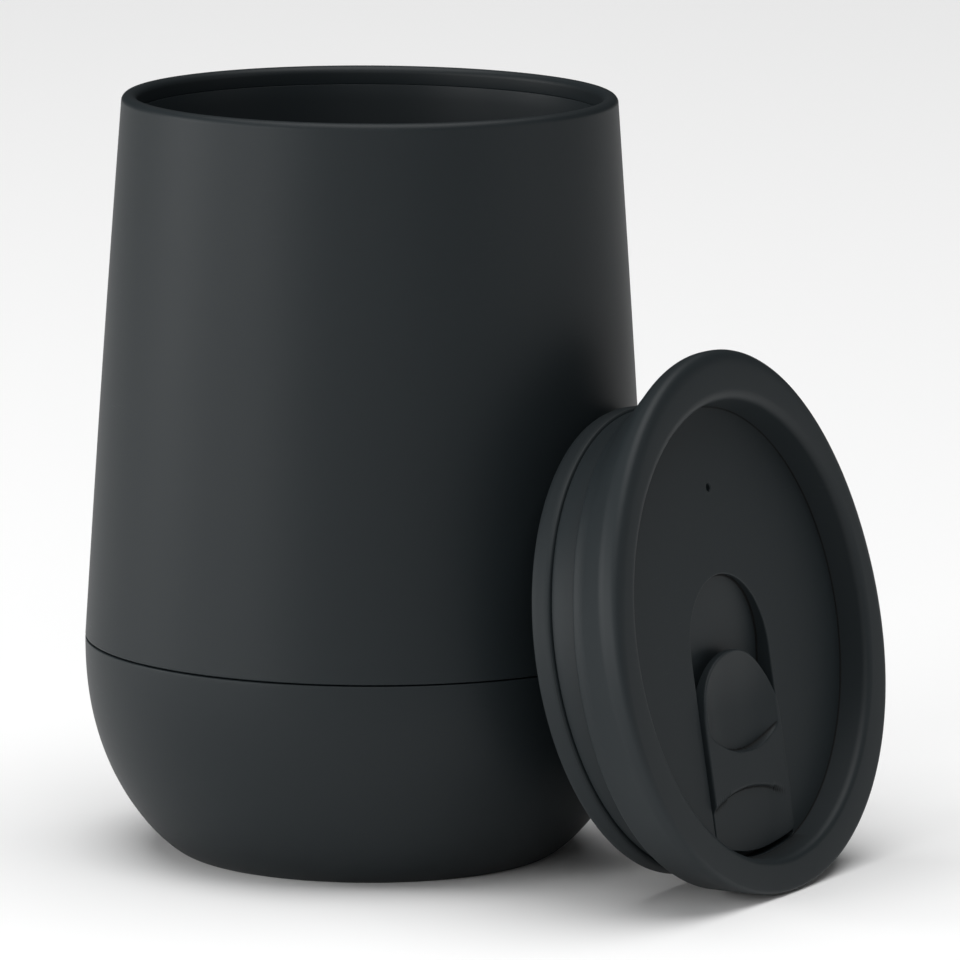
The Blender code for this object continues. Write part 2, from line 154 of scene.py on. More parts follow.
# The stage. A light's row is its name, its bearing from the camera and its height in degrees,
# its width and its distance in metres, and its watts.
STUDIO_LIGHTS = (
    ("left_front_softbox", -50, 12, 0.5, 1.2, 3.7),
    ("left_softbox", -90, 12, 0.5, 1.2, 4.1),
    ("front_fill", 0, 25, 0.8, 1.6, 2.6),
    ("right_fill", 75, 15, 0.8, 1.4, 1.2),
    ("top_softbox", 0, 88, 6.0, 5.2, 250.0),
)
AMBIENT_STRENGTH = 0.03
FLOOR_REACH = 8.0
LENS_MM = 329.6
SENSOR_MM = 36.0
CAMERA_TURNS = {"yaw": -0.0127, "pitch": 0.0006, "roll": -0.0041}


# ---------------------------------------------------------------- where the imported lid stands

def lid_axes():
    """The lid's own directions in the part's frame, as rows u, v and w.

    The slider's joint runs against u. The lid leans in the XZ plane only, so w is the direction
    square to u with no Y share, and v = w x u.
    """
    slide = next(j for j in frame["joints"] if j["name"] == "slider_slide")
    u = -Vector(slide["axis"]).normalized()
    w = Vector((-u.z, 0.0, u.x)).normalized()
    return np.array([u, w.cross(u), w])


def lid_place(axes, seal_top):
    """The lid's centre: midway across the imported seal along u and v, and below its top along w."""
    mesh = frame["nodes"]["lid_seal"].data
    points = np.empty(len(mesh.vertices) * 3)
    mesh.vertices.foreach_get("co", points)
    along = points.reshape(-1, 3) @ axes.T
    low, high = along.min(0), along.max(0)
    return np.array([(low[0] + high[0]) / 2, (low[1] + high[1]) / 2, high[2] - seal_top]) @ axes


def carry(piece, lid):
    """Turn a piece from the lid's frame into the part's frame."""
    axes = lid_axes()
    place = lid_place(axes, seal_top(lid))
    piece.data.transform(Matrix.Translation(place) @ Matrix(axes.T).to_4x4())
    piece.data.update()


# ---------------------------------------------------------------- surfaces from arrays

def smoothstep(low, high, value):
    """0 below low, 1 above high, and 3t^2 - 2t^3 between."""
    t = np.clip((value - low) / (high - low), 0.0, 1.0)
    return t * t * (3.0 - 2.0 * t)


def arc(centre, radius, start, end, count):
    """Points on a circle in the (radius, height) plane; angles in degrees from outwards to up."""
    a = np.radians(np.linspace(start, end, count))
    return np.stack([centre[0] + radius * np.cos(a), centre[1] + radius * np.sin(a)], axis=1)


def line(start, end, count):
    """Evenly spaced points from start to end, both included."""
    t = np.linspace(0.0, 1.0, count)[:, None]
    return (1.0 - t) * np.asarray(start) + t * np.asarray(end)


def soft_corners(corners, reach, steps=6, closed=False):
    """Round the corners of an outline.

    Each corner becomes a parabola that leaves both of its edges at the given reach, or at half
    an edge where that is shorter: (1 - t)^2 start + 2t(1 - t) corner + t^2 end.
    """
    corners = np.asarray(corners, float)
    if closed:
        corners = np.concatenate([corners[-1:], corners, corners[:1]])
    corner = corners[1:-1]
    legs = [corners[:-2] - corner, corners[2:] - corner]
    spread = (1,) * (corners.ndim - 1)
    reach = np.asarray(reach, float)
    if reach.ndim < corners.ndim:
        reach = reach.reshape(-1, *spread)
    lengths = [np.maximum(np.linalg.norm(leg, axis=-1, keepdims=True), 1e-9) for leg in legs]
    start, end = (corner + leg * np.minimum(reach / length, 0.5)
                  for leg, length in zip(legs, lengths))
    t = np.linspace(0.0, 1.0, steps).reshape(1, steps, *spread)
    curve = ((1 - t) ** 2 * start[:, None] + 2 * t * (1 - t) * corner[:, None]
             + t ** 2 * end[:, None])
    rows = curve.reshape(-1, *corners.shape[1:])
    return rows if closed else np.concatenate([corners[:1], rows, corners[-1:]])


def turned(outline, steps=TURN_STEPS):
    """Rows of a surface of revolution: (r cos a, r sin a, z) for every outline point and angle."""
    a = np.linspace(0.0, math.tau, steps, endpoint=False)
    r, z = (column[:, None] for column in np.asarray(outline).T)
    return np.stack([r * np.cos(a), r * np.sin(a), np.repeat(z, steps, 1)], axis=2)


def signed_volume(points, faces):
    """Six times the volume inside a closed mesh; it is negative when the mesh is inside out."""
    total = 0.0
    for kind in faces:
        for k in range(1, kind.shape[1] - 1):
            a, b, c = points[kind[:, 0]], points[kind[:, k]], points[kind[:, k + 1]]
            total += np.einsum("ij,ij->", a, np.cross(b, c))
    return total


def skin(name, rows, poles=(None, None), ring=False):
    """Mesh over a grid of rows that close on themselves.

    A pole is a point that closes the first or the last row with a fan; a ring joins the last row
    to the first instead. Faces are turned round together if the closed mesh is inside out.
    """
    count, around = rows.shape[:2]
    index = np.arange(count * around).reshape(count, around)
    ahead = np.roll(index, -1, axis=1)
    if ring:
        corners = [index, ahead, np.roll(ahead, -1, axis=0), np.roll(index, -1, axis=0)]
    else:
        corners = [index[:-1], ahead[:-1], ahead[1:], index[1:]]
    quads = np.stack(corners, axis=-1).reshape(-1, 4)
    points = [rows.reshape(-1, 3)]
    fans = []
    ends = ((poles[0], ahead[0], index[0]), (poles[1], index[-1], ahead[-1]))
    for pole, edge, after in ends:
        if pole is not None:
            tip = np.full(around, count * around + len(points) - 1)
            points.append(np.asarray(pole, float).reshape(1, 3))
            fans.append(np.stack([tip, edge, after], axis=-1))
    points = np.concatenate(points)
    faces = [quads] + fans
    if signed_volume(points, faces) < 0.0:
        faces = [kind[:, ::-1] for kind in faces]
    mesh = bpy.data.meshes.new(name)
    mesh.from_pydata(points, [], [face for kind in faces for face in kind.tolist()])
    mesh.update()
    piece = bpy.data.objects.new(name, mesh)
    bpy.context.scene.collection.objects.link(piece)
    return piece


def mark_edges(mesh):
    """Store how sharply the skin bends, as the attribute "edge" (outwards), which the finishes use
    for a painted sheen, and a crease attribute (inwards), which they use for painted shade.

    The bend is the mean over a point's edges of the edge's direction against the point's normal,
    divided by the edge's length. Twice that is the curvature in 1/m, and each attribute runs from
    0 at 60 per metre to 1 at its own limit.
    """
    count = len(mesh.vertices)
    place, normal = np.empty(count * 3), np.empty(count * 3)
    mesh.vertices.foreach_get("co", place)
    mesh.vertex_normals.foreach_get("vector", normal)
    place, normal = place.reshape(-1, 3), normal.reshape(-1, 3)
    ends = np.empty(len(mesh.edges) * 2, np.int32)
    mesh.edges.foreach_get("vertices", ends)
    one, two = ends.reshape(-1, 2).T
    gap = place[one] - place[two]
    square = np.maximum(np.einsum("ij,ij->i", gap, gap), 1e-12)
    bend = np.zeros(count)
    bend += np.bincount(one, np.einsum("ij,ij->i", gap, normal[one]) / square, count)
    bend += np.bincount(two, np.einsum("ij,ij->i", -gap, normal[two]) / square, count)
    valence = np.maximum(np.bincount(ends, minlength=count), 1)
    for name, turn, tight in (("edge", 2.0, 1400.0), ("cavity", -2.0, 700.0)):
        mark = mesh.attributes.new(name, "FLOAT", "POINT")
        value = smoothstep(60.0, tight, turn * bend / valence)
        mark.data.foreach_set("value", value.astype(np.float32))


def finish_piece(piece, body, material, node):
    """Shade a piece, mark its edges, give it its finish, and let it stand for its CAD node."""
    mesh = piece.data
    mesh.shade_smooth()
    mesh.set_sharp_from_angle(angle=CREASE_ANGLE)
    mark_edges(mesh)
    mesh.materials.clear()
    mesh.materials.append(material)
    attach(piece, body)
    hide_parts(node)


def cut(piece, cutters):
    """Take the cutters out of a piece with the exact solver, and remove them."""
    for cutter in cutters:
        step = piece.modifiers.new(cutter.name, "BOOLEAN")
        step.operation = "DIFFERENCE"
        step.solver = "EXACT"
        step.object = cutter
    graph = bpy.context.evaluated_depsgraph_get()
    whole = piece.data
    piece.data = bpy.data.meshes.new_from_object(piece.evaluated_get(graph))
    piece.data.name = whole.name
    piece.modifiers.clear()
    bpy.data.meshes.remove(whole)
    for cutter in cutters:
        bpy.data.objects.remove(cutter)


# ---------------------------------------------------------------- the cup

def sleeve_radius(cup, z):
    """Radius of the cup's outside above the seam: a straight taper plus half a sine of swell."""
    t = np.clip((z - cup.seam_height) / (cup.height - cup.seam_height), 0.0, 1.0)
    taper = (cup.rim_radius - cup.widest_radius) * t
    return cup.widest_radius + taper + SLEEVE_BULGE * np.sin(math.pi * t)


def sleeve_rows(cup):
    """Upper wall: taper, rolled rim of two quarter circles, mouth band and inside."""
    foot = cup.seam_height + SEAM_LINE / 2
    top = cup.height - cup.rim_round
    band_foot = cup.height - cup.rim_band
    band_radius = cup.mouth_radius + BAND_LINE
    z = np.linspace(foot + EDGE_ROUND, top, 70)
    outside = np.stack([sleeve_radius(cup, z), z], axis=1)
    foot_middle = (sleeve_radius(cup, foot) - EDGE_ROUND, foot + EDGE_ROUND)
    foot_edge = arc(foot_middle, EDGE_ROUND, -90, 0, 6)[:-1]
    roll_out = arc((sleeve_radius(cup, top) - cup.rim_round, top), cup.rim_round, 0, 90, 14)
    roll_in = arc((band_radius + cup.rim_round, top), cup.rim_round, 90, 180, 14)
    band = soft_corners([roll_in[-1], (band_radius, band_foot),
                         (sleeve_radius(cup, band_foot) - SLEEVE_WALL, band_foot)], 0.06 * MM, 4)
    z = np.linspace(band_foot, foot, 24)[1:]
    inside = np.stack([sleeve_radius(cup, z) - SLEEVE_WALL, z], axis=1)
    return turned(np.concatenate([foot_edge, outside, roll_out[1:], roll_in, band[1:], inside]))


def base_curve(cup, angle, inset=0.0):
    """Outline below the seam: a quarter of a superellipse from the seam down to the flat underside.

    r = foot + swing * cos(a)^(2 / side power), z = seam * (1 - sin(a)^(2 / bottom power)).
    """
    swing = cup.widest_radius - cup.foot_radius
    r = cup.foot_radius + swing * np.maximum(np.cos(angle), 0.0) ** (2 / BASE_SIDE_POWER)
    z = cup.seam_height * (1.0 - np.sin(angle) ** (2 / BASE_BOTTOM_POWER))
    return np.stack([r - inset, inset + z * (1.0 - inset / cup.seam_height)], axis=1)


def base_rows(cup):
    """Lower shell: inside, the lap that enters the upper wall, the seam's edge and the outside."""
    shoulder = cup.seam_height - SEAM_LINE / 2
    lap_top = cup.seam_height + LAP_HEIGHT
    lap_outer = sleeve_radius(cup, lap_top) - SLEEVE_WALL - FIT_GAP
    lap_inner = lap_outer - LAP_WALL
    edge_middle = cup.widest_radius - EDGE_ROUND
    angles = np.linspace(0.0, math.pi / 2, 90)
    inside = base_curve(cup, angles[::-1], BASE_WALL)
    inside = inside[inside[:, 0] < lap_inner]
    lap = soft_corners([inside[-1], (lap_inner, shoulder - LAP_HEIGHT / 2), (lap_inner, lap_top),
                        (lap_outer, lap_top), (lap_outer, shoulder), (edge_middle, shoulder)],
                       0.3 * MM, 4)[1:]
    edge = arc((edge_middle, shoulder - EDGE_ROUND), EDGE_ROUND, 90, 0, 6)[1:]
    outside = base_curve(cup, angles)
    outside = outside[outside[:, 1] < shoulder - EDGE_ROUND]
    floor_in = line((POLE_RING, BASE_WALL), inside[0], 10)[:-1]
    floor_out = line(outside[-1], (POLE_RING, 0.0), 14)[1:]
    return turned(np.concatenate([floor_in, inside, lap, edge, outside, floor_out]))


def liner_rows(cup):
    """Inner cup: flat floor, round corner, tapering wall, soft top edge, and the same outside."""
    top = cup.height - cup.rim_band - BAND_LINE
    corner = (cup.liner_foot_radius - LINER_CORNER, cup.liner_floor + LINER_CORNER)
    turn_in = arc(corner, LINER_CORNER, -90, 0, 24)
    turn_out = arc(corner, LINER_CORNER + LINER_WALL, 0, -90, 24)
    flange = (sleeve_radius(cup, top) - SLEEVE_WALL - FIT_GAP, top)
    side = line(turn_in[-1], (cup.mouth_radius, top), 40)[1:-1]
    lip = soft_corners([side[-1], (cup.mouth_radius, top), flange, (flange[0], top - 1.2 * MM),
                        (cup.mouth_radius + LINER_WALL - 0.4 * MM, top - 2.4 * MM)],
                       np.array([0.06, 0.3, 0.5]) * MM, 5)[1:]
    floor_in = line((POLE_RING, cup.liner_floor), turn_in[0], 12)[:-1]
    back = line(lip[-1], turn_out[0], 30)[1:-1]
    floor_out = line(turn_out[-1], (POLE_RING, cup.liner_floor - LINER_WALL), 12)[1:]
    return turned(np.concatenate([floor_in, turn_in, side, lip, back, turn_out, floor_out]))


# ---------------------------------------------------------------- the lid

def skirt_radius(cup):
    """Outside radius of the lid's skirt, a clearance inside the mouth."""
    return cup.mouth_radius - SKIRT_CLEARANCE


def slot_outline(tip, half, front_radius):
    """Plan of the slider or its track: half circle at the rear, straight sides, arc in front."""
    rear = np.radians(np.linspace(90.0, 270.0, 240))
    swing = math.asin(half / front_radius)
    shoulder = front_radius * math.cos(swing)
    front = np.linspace(-swing, swing, 200)
    back = np.stack([tip + half + half * np.cos(rear), half * np.sin(rear)], axis=1)
    near = line((tip + half, -half), (shoulder, -half), 120)
    nose = np.stack([front_radius * np.cos(front), front_radius * np.sin(front)], axis=1)
    return np.concatenate([back, near[1:-1], nose, near[-2:0:-1] * (1.0, -1.0)])


def hub_rays(recess):
    """Even angles about the lid's centre, and at the hub those of the recess's points there."""
    phi = np.linspace(0.0, math.tau, LID_STEPS, endpoint=False)
    return phi, np.arctan2(recess * np.sin(phi), recess * np.cos(phi) - HUB[0])


def reach_of(outline, ray):
    """Distance from the hub to an outline along each ray, read off between the outline's points."""
    u, v = (outline - HUB).T
    return np.interp(ray, np.arctan2(v, u), np.hypot(u, v), period=math.tau)


def reach_of_circle(radius, ray):
    """Distance from the hub to a circle about the lid's centre on each ray, by the quadratic."""
    side = HUB[0] * np.cos(ray)
    return -side + np.sqrt(side * side - HUB[0] ** 2 + radius ** 2)


def on_rays(ray, reach, height):
    """Points at a reach from the hub on each ray; height is a number, an array or height(u, v)."""
    u = HUB[0] + reach * np.cos(ray)
    v = reach * np.sin(ray)
    w = height(u, v) if callable(height) else height
    return np.stack([u, v, np.broadcast_to(w, u.shape)], axis=-1)


def track_plan(slide):
    """Where the track's rear end is, and half of its width."""
    return slide.rear - slide.travel - TRACK_OVERRUN, slide.half_width + slide.side_gap


def track_floor(slide, u):
    """Height of the track's bottom: a straight ramp from the rear end, then level."""
    start, _ = track_plan(slide)
    t = np.clip((u - start) / TRACK_RAMP, 0.0, 1.0)
    return -slide.track_step - (slide.track_depth - slide.track_step) * t


def recess_rows(lid, slide, ray):
    """Rows from the middle of the track's bottom, over its rim, to the end of the sunk floor.

    Each row is a share of the way along the rays. Also gives the fillet at the floor's end, which
    is tighter where the track leaves little floor.
    """
    tip, half = track_plan(slide)
    track = reach_of(slot_outline(tip, half, lid.recess_radius - FRONT_MARGIN), ray)
    ledge = reach_of_circle(lid.recess_radius, ray) - track
    edge = np.minimum(SOFT_EDGE, 0.4 * ledge)
    fillet = np.minimum(EDGE_ROUND, 0.4 * ledge)

    def bottom(u, v):
        return track_floor(slide, u)

    floor_start = on_rays(ray, track + edge, 0.0)
    floor_end = on_rays(ray, track + ledge - fillet, 0.0)
    corners = [on_rays(ray, track - SOFT_EDGE, bottom), on_rays(ray, track, bottom),
               on_rays(ray, track, 0.0), floor_start]
    reach = np.stack([np.full_like(edge, SOFT_EDGE), edge])[:, :, None]
    rows = [on_rays(ray, (track - SOFT_EDGE) * t, bottom) for t in np.linspace(0.04, 0.97, 34)]
    rows += list(soft_corners(np.stack(corners), reach, 7))
    rows += [floor_start * (1 - t) + floor_end * t for t in np.linspace(0.04, 1.0, 26)]
    return rows, fillet


def rim_outline(cup, lid, phi, fillet, under):
    """Outline at each angle from the recess's wall over lip, seat and skirt to the underside.

    Its corners are rows of radius, height, shift along u, and the reach of their rounding. They
    change smoothly from the back of the lid to its drinking side.
    """
    front = smoothstep(-0.35, 0.85, np.cos(phi))
    recess, skirt = lid.recess_radius, skirt_radius(cup)
    inner = skirt - SKIRT_WALL
    top = lid.recess_depth + lid.front_rise * front + lid.back_rise * (1.0 - np.cos(phi)) / 2
    roll = lid.back_round + (lid.front_round - lid.back_round) * front
    lip = lid.lip_radius + np.sin(phi) ** 2 * (LIP_WIDENING * np.cos(phi) - LIP_WAIST)
    lip_low = top - roll - LIP_EDGE
    hem = cup.rim_radius + (-1.4 + 2.0 * front) * MM
    seat, foot = -lid.seat_depth, -lid.skirt_depth
    groove_top, groove_low = seal_top(lid) + FIT_GAP, foot + SEAL_LIP
    corners = [
        (recess - fillet / 2, 0.0, 0.0, 0.0),
        (recess, 0.0, 0.0, fillet),
        (recess + lid.recess_draft, top, 0.0, 1.3 * MM),
        (lip, top, LIP_OFFSET, roll),
        (lip - LIP_TUCK, lip_low, LIP_OFFSET, 0.8 * MM),
    ]
    for t in (0.75, 0.5, 0.25):
        hollow = FLANGE_HOLLOW * (1.0 - front) * (1.0 - t)
        corners.append((hem + (lip - LIP_TUCK - hem) * (t - hollow),
                        seat + (lip_low - seat) * t, LIP_OFFSET * t, 1.2 * MM))
    corners += [
        (hem, seat, 0.0, 0.45 * MM),
        (skirt, seat, 0.0, 0.3 * MM),
        (skirt, groove_top, 0.0, 0.12 * MM),
        (skirt - SEAL_GROOVE, groove_top, 0.0, 0.1 * MM),
        (skirt - SEAL_GROOVE, groove_low, 0.0, 0.1 * MM),
        (skirt - SKIRT_STEP, groove_low, 0.0, 0.12 * MM),
        (skirt - SKIRT_STEP, foot, 0.0, 0.3 * MM),
        (inner, foot, 0.0, 0.3 * MM),
        (inner, under, 0.0, 0.6 * MM),
        (inner - SKIRT_FILLET, under, 0.0, 0.0),
    ]
    table = np.array([[value + 0.0 * phi for value in corner] for corner in corners])
    return soft_corners(np.moveaxis(table[:, :3], 1, -1), table[1:-1, 3, :, None], 9)[1:]


def lid_rows(cup, lid, slide):
    """Whole lid as one skin, from the middle of the track's bottom to the middle of the underside.

    The recess and the underside with its boss are rows along rays from the hub. Between them the
    outline of lip and skirt is turned about the lid's centre.
    """
    phi, ray = hub_rays(lid.recess_radius)
    inner = skirt_radius(cup) - SKIRT_WALL
    tip, half = track_plan(slide)
    boss_low = -slide.track_depth - TRACK_WALL
    boss = reach_of(slot_outline(tip - TRACK_WALL, half + TRACK_WALL, inner + 1.0 * MM), ray)
    limit = reach_of_circle(inner - SKIRT_FILLET, ray)
    under = np.where(boss > limit, boss_low, -lid.floor_thickness)
    boss = np.minimum(boss, limit)

    rows, fillet = recess_rows(lid, slide, ray)
    radius, height, shift = np.moveaxis(rim_outline(cup, lid, phi, fillet, under), -1, 0)
    rows += list(np.stack([radius * np.cos(phi) + shift, radius * np.sin(phi), height], axis=-1))
    under_edge = on_rays(ray, limit, under)
    boss_top = on_rays(ray, boss, under)
    rows += [under_edge * (1 - t) + boss_top * t for t in np.linspace(0.1, 1.0, 10)]
    rows += [on_rays(ray, boss - 0.06 * MM, under * 0.1 + boss_low * 0.9),
             on_rays(ray, boss - SOFT_EDGE, boss_low)]
    rows += [on_rays(ray, (boss - SOFT_EDGE) * t, boss_low) for t in np.linspace(0.96, 0.05, 16)]
    return np.stack(rows), [(HUB[0], 0.0, w) for w in (track_floor(slide, HUB[0]), boss_low)]


def cutter(name, centre, half, low, high, chamfer=0.0, power=2.0):
    """Cutter of superellipse plan, |u / a|^p + |v / b|^p = 1, wider by the chamfer at its ends."""
    a = np.linspace(0.0, math.tau, HOLE_STEPS, endpoint=False)
    u, v = (np.sign(x) * np.abs(x) ** (2 / power) for x in (np.cos(a), np.sin(a)))
    levels = [(low - CUTTER_OVERRUN, chamfer), (low, chamfer), (low + chamfer, 0.0),
              (high - chamfer, 0.0), (high, chamfer), (high + CUTTER_OVERRUN, chamfer)]
    rows = [np.stack([centre + (half[0] + wider) * u, (half[1] + wider) * v, w + 0.0 * u], axis=-1)
            for w, wider in levels]
    return skin(name, np.stack(rows), [(centre, 0.0, levels[end][0]) for end in (0, -1)])


def seal_top(lid):
    """Height of the seal's upper face in the lid's frame."""
    return -(lid.skirt_depth - SEAL_HEIGHT - SEAL_LIP / 2) - FIT_GAP


def seal_rows(cup, lid):
    """Soft ring: a foot in the skirt's groove and an outward lip, with all corners rounded."""
    skirt = skirt_radius(cup)
    reach = cup.mouth_radius + SEAL_SQUEEZE
    proud = reach - skirt
    top = seal_top(lid) + FIT_GAP - BAND_LINE
    held = -lid.skirt_depth + SEAL_LIP + FIT_GAP
    low = -lid.skirt_depth - 0.1 * MM
    foot = skirt - SEAL_GROOVE + FIT_GAP
    heel = skirt + SEAL_FOOT_GAP
    corners = [(foot, held), (foot, top), (skirt + 0.6 * proud, top), (reach, top - 0.6 * MM),
               (reach, low + 0.6 * MM), (skirt + 0.7 * proud, low), (heel, low), (heel, held)]
    roundings = np.array([0.1, 0.1, 0.4, 0.5, 0.5, 0.3, 0.1, 0.1]) * MM
    return turned(soft_corners(corners, roundings, 8, True), LID_STEPS)


# ---------------------------------------------------------------- the slider

def slider_top(slide, step_place, front_end):
    """Height of the slider's upper face as a function of u and v.

    A thumb dish is sunk into the rear. Its depth is D(1 - q), with q the square of the way back
    from the dish's middle plus a power of the way across, up to a steep wall along an arc in
    front. In front of a shallower arc the face steps down, less and less towards one side, and
    falls to the nose.
    """
    dish_front = slide.rear + DISH_REAR + slide.dish_length
    middle = dish_front - DISH_NOSE
    back = middle - slide.rear - 0.4 * MM

    def height(u, v):
        across = np.abs(2.0 * v / slide.dish_width)
        bowl = (np.maximum(middle - u, 0.0) / back) ** 2 + across ** 3.5
        wall = smoothstep(-0.5 * MM, 0.0, u - dish_front + v * v / (2.0 * DISH_WALL_RADIUS))
        dish = slide.dish_depth * (1.0 - np.minimum(bowl, 1.0)) * (1.0 - wall)
        past = u - step_place - v * v / (2.0 * STEP_RADIUS)
        inside = 1.0 - smoothstep(0.45, 1.0, v / slide.half_width)
        step = slide.step_drop * smoothstep(-0.05 * MM, 0.4 * MM, past) * inside
        fall = NOSE_FALL * np.clip(past / (front_end - step_place), 0.0, 1.0) ** 1.3
        return slide.proud - dish - step - fall

    return height


def slider_rows(lid, slide):
    """Slider as one skin along rays from the hub: underside, side, soft top edge, upper face."""
    _, ray = hub_rays(lid.recess_radius)
    front_end = lid.recess_radius - FRONT_MARGIN - slide.front_gap
    rim = reach_of(slot_outline(slide.rear, slide.half_width, front_end), ray)
    upper = slider_top(slide, lid.recess_radius - STEP_BACK, front_end)

    def under(u, v):
        return track_floor(slide, u - slide.travel) + FIT_GAP

    soft = slide.edge_round
    rows = [on_rays(ray, rim * t, under) for t in np.linspace(0.05, 0.96, 18)]
    crest = on_rays(ray, rim - soft, upper)
    corner = on_rays(ray, rim, 0.0)
    corner[:, 2] = crest[:, 2]
    foot = on_rays(ray, rim, under)
    heel = on_rays(ray, rim - 0.25 * MM, under)
    reach = np.array([0.25 * MM, soft]).reshape(2, 1, 1)
    rows += list(soft_corners(np.stack([heel, foot, corner, crest]), reach, 10))
    rows += [on_rays(ray, (rim - soft) * t, upper) for t in np.linspace(0.992, 0.01, 120)]
    return np.stack(rows), [(HUB[0], 0.0, face(HUB[0], 0.0)) for face in (under, upper)]


# ---------------------------------------------------------------- finishes

def new_group(name, inputs, outputs):
    """An empty shader group with named sockets; returns it with its input and output nodes."""
    group = bpy.data.node_groups.new(name, "ShaderNodeTree")
    for label, kind, value in inputs:
        socket = group.interface.new_socket(label, in_out="INPUT", socket_type=kind)
        if value is not None:
            socket.default_value = value
    for label, kind in outputs:
        group.interface.new_socket(label, in_out="OUTPUT", socket_type=kind)
    return group, group.nodes.new("NodeGroupInput"), group.nodes.new("NodeGroupOutput")


def math_node(tree, operation, one, two):
    """A Math node whose two values are sockets or numbers."""
    node = tree.nodes.new("ShaderNodeMath")
    node.operation = operation
    for socket, value in zip(node.inputs, (one, two)):
        if isinstance(value, (int, float)):
            socket.default_value = value
        else:
            tree.links.new(value, socket)
    return node.outputs["Value"]


def noise(tree, vector, scale, detail, roughness=0.5):
    """A noise texture's value on the given coordinates."""
    node = tree.nodes.new("ShaderNodeTexNoise")
    node.inputs["Scale"].default_value = scale
    node.inputs["Detail"].default_value = detail
    node.inputs["Roughness"].default_value = roughness
    tree.links.new(vector, node.inputs["Vector"])
    return node.outputs["Fac"]


def ramp(tree, value, low, high):
    """A smooth 0 to 1 mask of a value between two limits."""
    node = tree.nodes.new("ShaderNodeMapRange")
    node.interpolation_type = "SMOOTHSTEP"
    node.inputs["From Min"].default_value = low
    node.inputs["From Max"].default_value = high
    tree.links.new(value, node.inputs["Value"])
    return node.outputs["Result"]


def mixed(tree, one, two, share):
    """A share of one value plus the rest of another."""
    return math_node(tree, "ADD", math_node(tree, "MULTIPLY", one, share),
                     math_node(tree, "MULTIPLY", two, 1.0 - share))


def mould_grain_group():
    """Spark-eroded mould texture: fine pits for the height, and slow clouds for the tone."""
    group, given, out = new_group(
        "mould_grain", [("Vector", "NodeSocketVector", None)],
        [("Height", "NodeSocketFloat"), ("Tone", "NodeSocketFloat")])
    fine = noise(group, given.outputs["Vector"], 3400.0, 3.0, 0.6)
    coarse = noise(group, given.outputs["Vector"], 900.0, 2.0)
    clouds = noise(group, given.outputs["Vector"], 42.0, 3.0)
    group.links.new(mixed(group, fine, coarse, 0.7), out.inputs["Height"])
    group.links.new(mixed(group, clouds, fine, 0.6), out.inputs["Tone"])
    return group


def handling_group():
    """Marks of use: sparse hairline rubs that run mostly one way, inside soft worn patches."""
    group, given, out = new_group(
        "handling_marks", [("Vector", "NodeSocketVector", None)], [("Rubs", "NodeSocketFloat")])
    stretch = group.nodes.new("ShaderNodeMapping")
    stretch.inputs["Rotation"].default_value = (0.3, 0.2, 0.5)
    stretch.inputs["Scale"].default_value = (1.0, 1.0, 14.0)
    group.links.new(given.outputs["Vector"], stretch.inputs["Vector"])
    hairs = ramp(group, noise(group, stretch.outputs["Vector"], 260.0, 2.0), 0.64, 0.74)
    patches = ramp(group, noise(group, given.outputs["Vector"], 30.0, 2.0), 0.5, 0.68)
    group.links.new(math_node(group, "MULTIPLY", hairs, patches), out.inputs["Rubs"])
    return group


def placed(tree, group, vector):
    """A shader group in a material, on the given coordinates."""
    node = tree.nodes.new("ShaderNodeGroup")
    node.node_tree = group
    tree.links.new(vector, node.inputs["Vector"])
    return node


def stored(tree, name):
    """A mask that mark_edges stored on the mesh."""
    node = tree.nodes.new("ShaderNodeAttribute")
    node.attribute_name = name
    return node.outputs["Fac"]


def scaled(tree, value, factor):
    """A value times a number."""
    return math_node(tree, "MULTIPLY", value, factor)


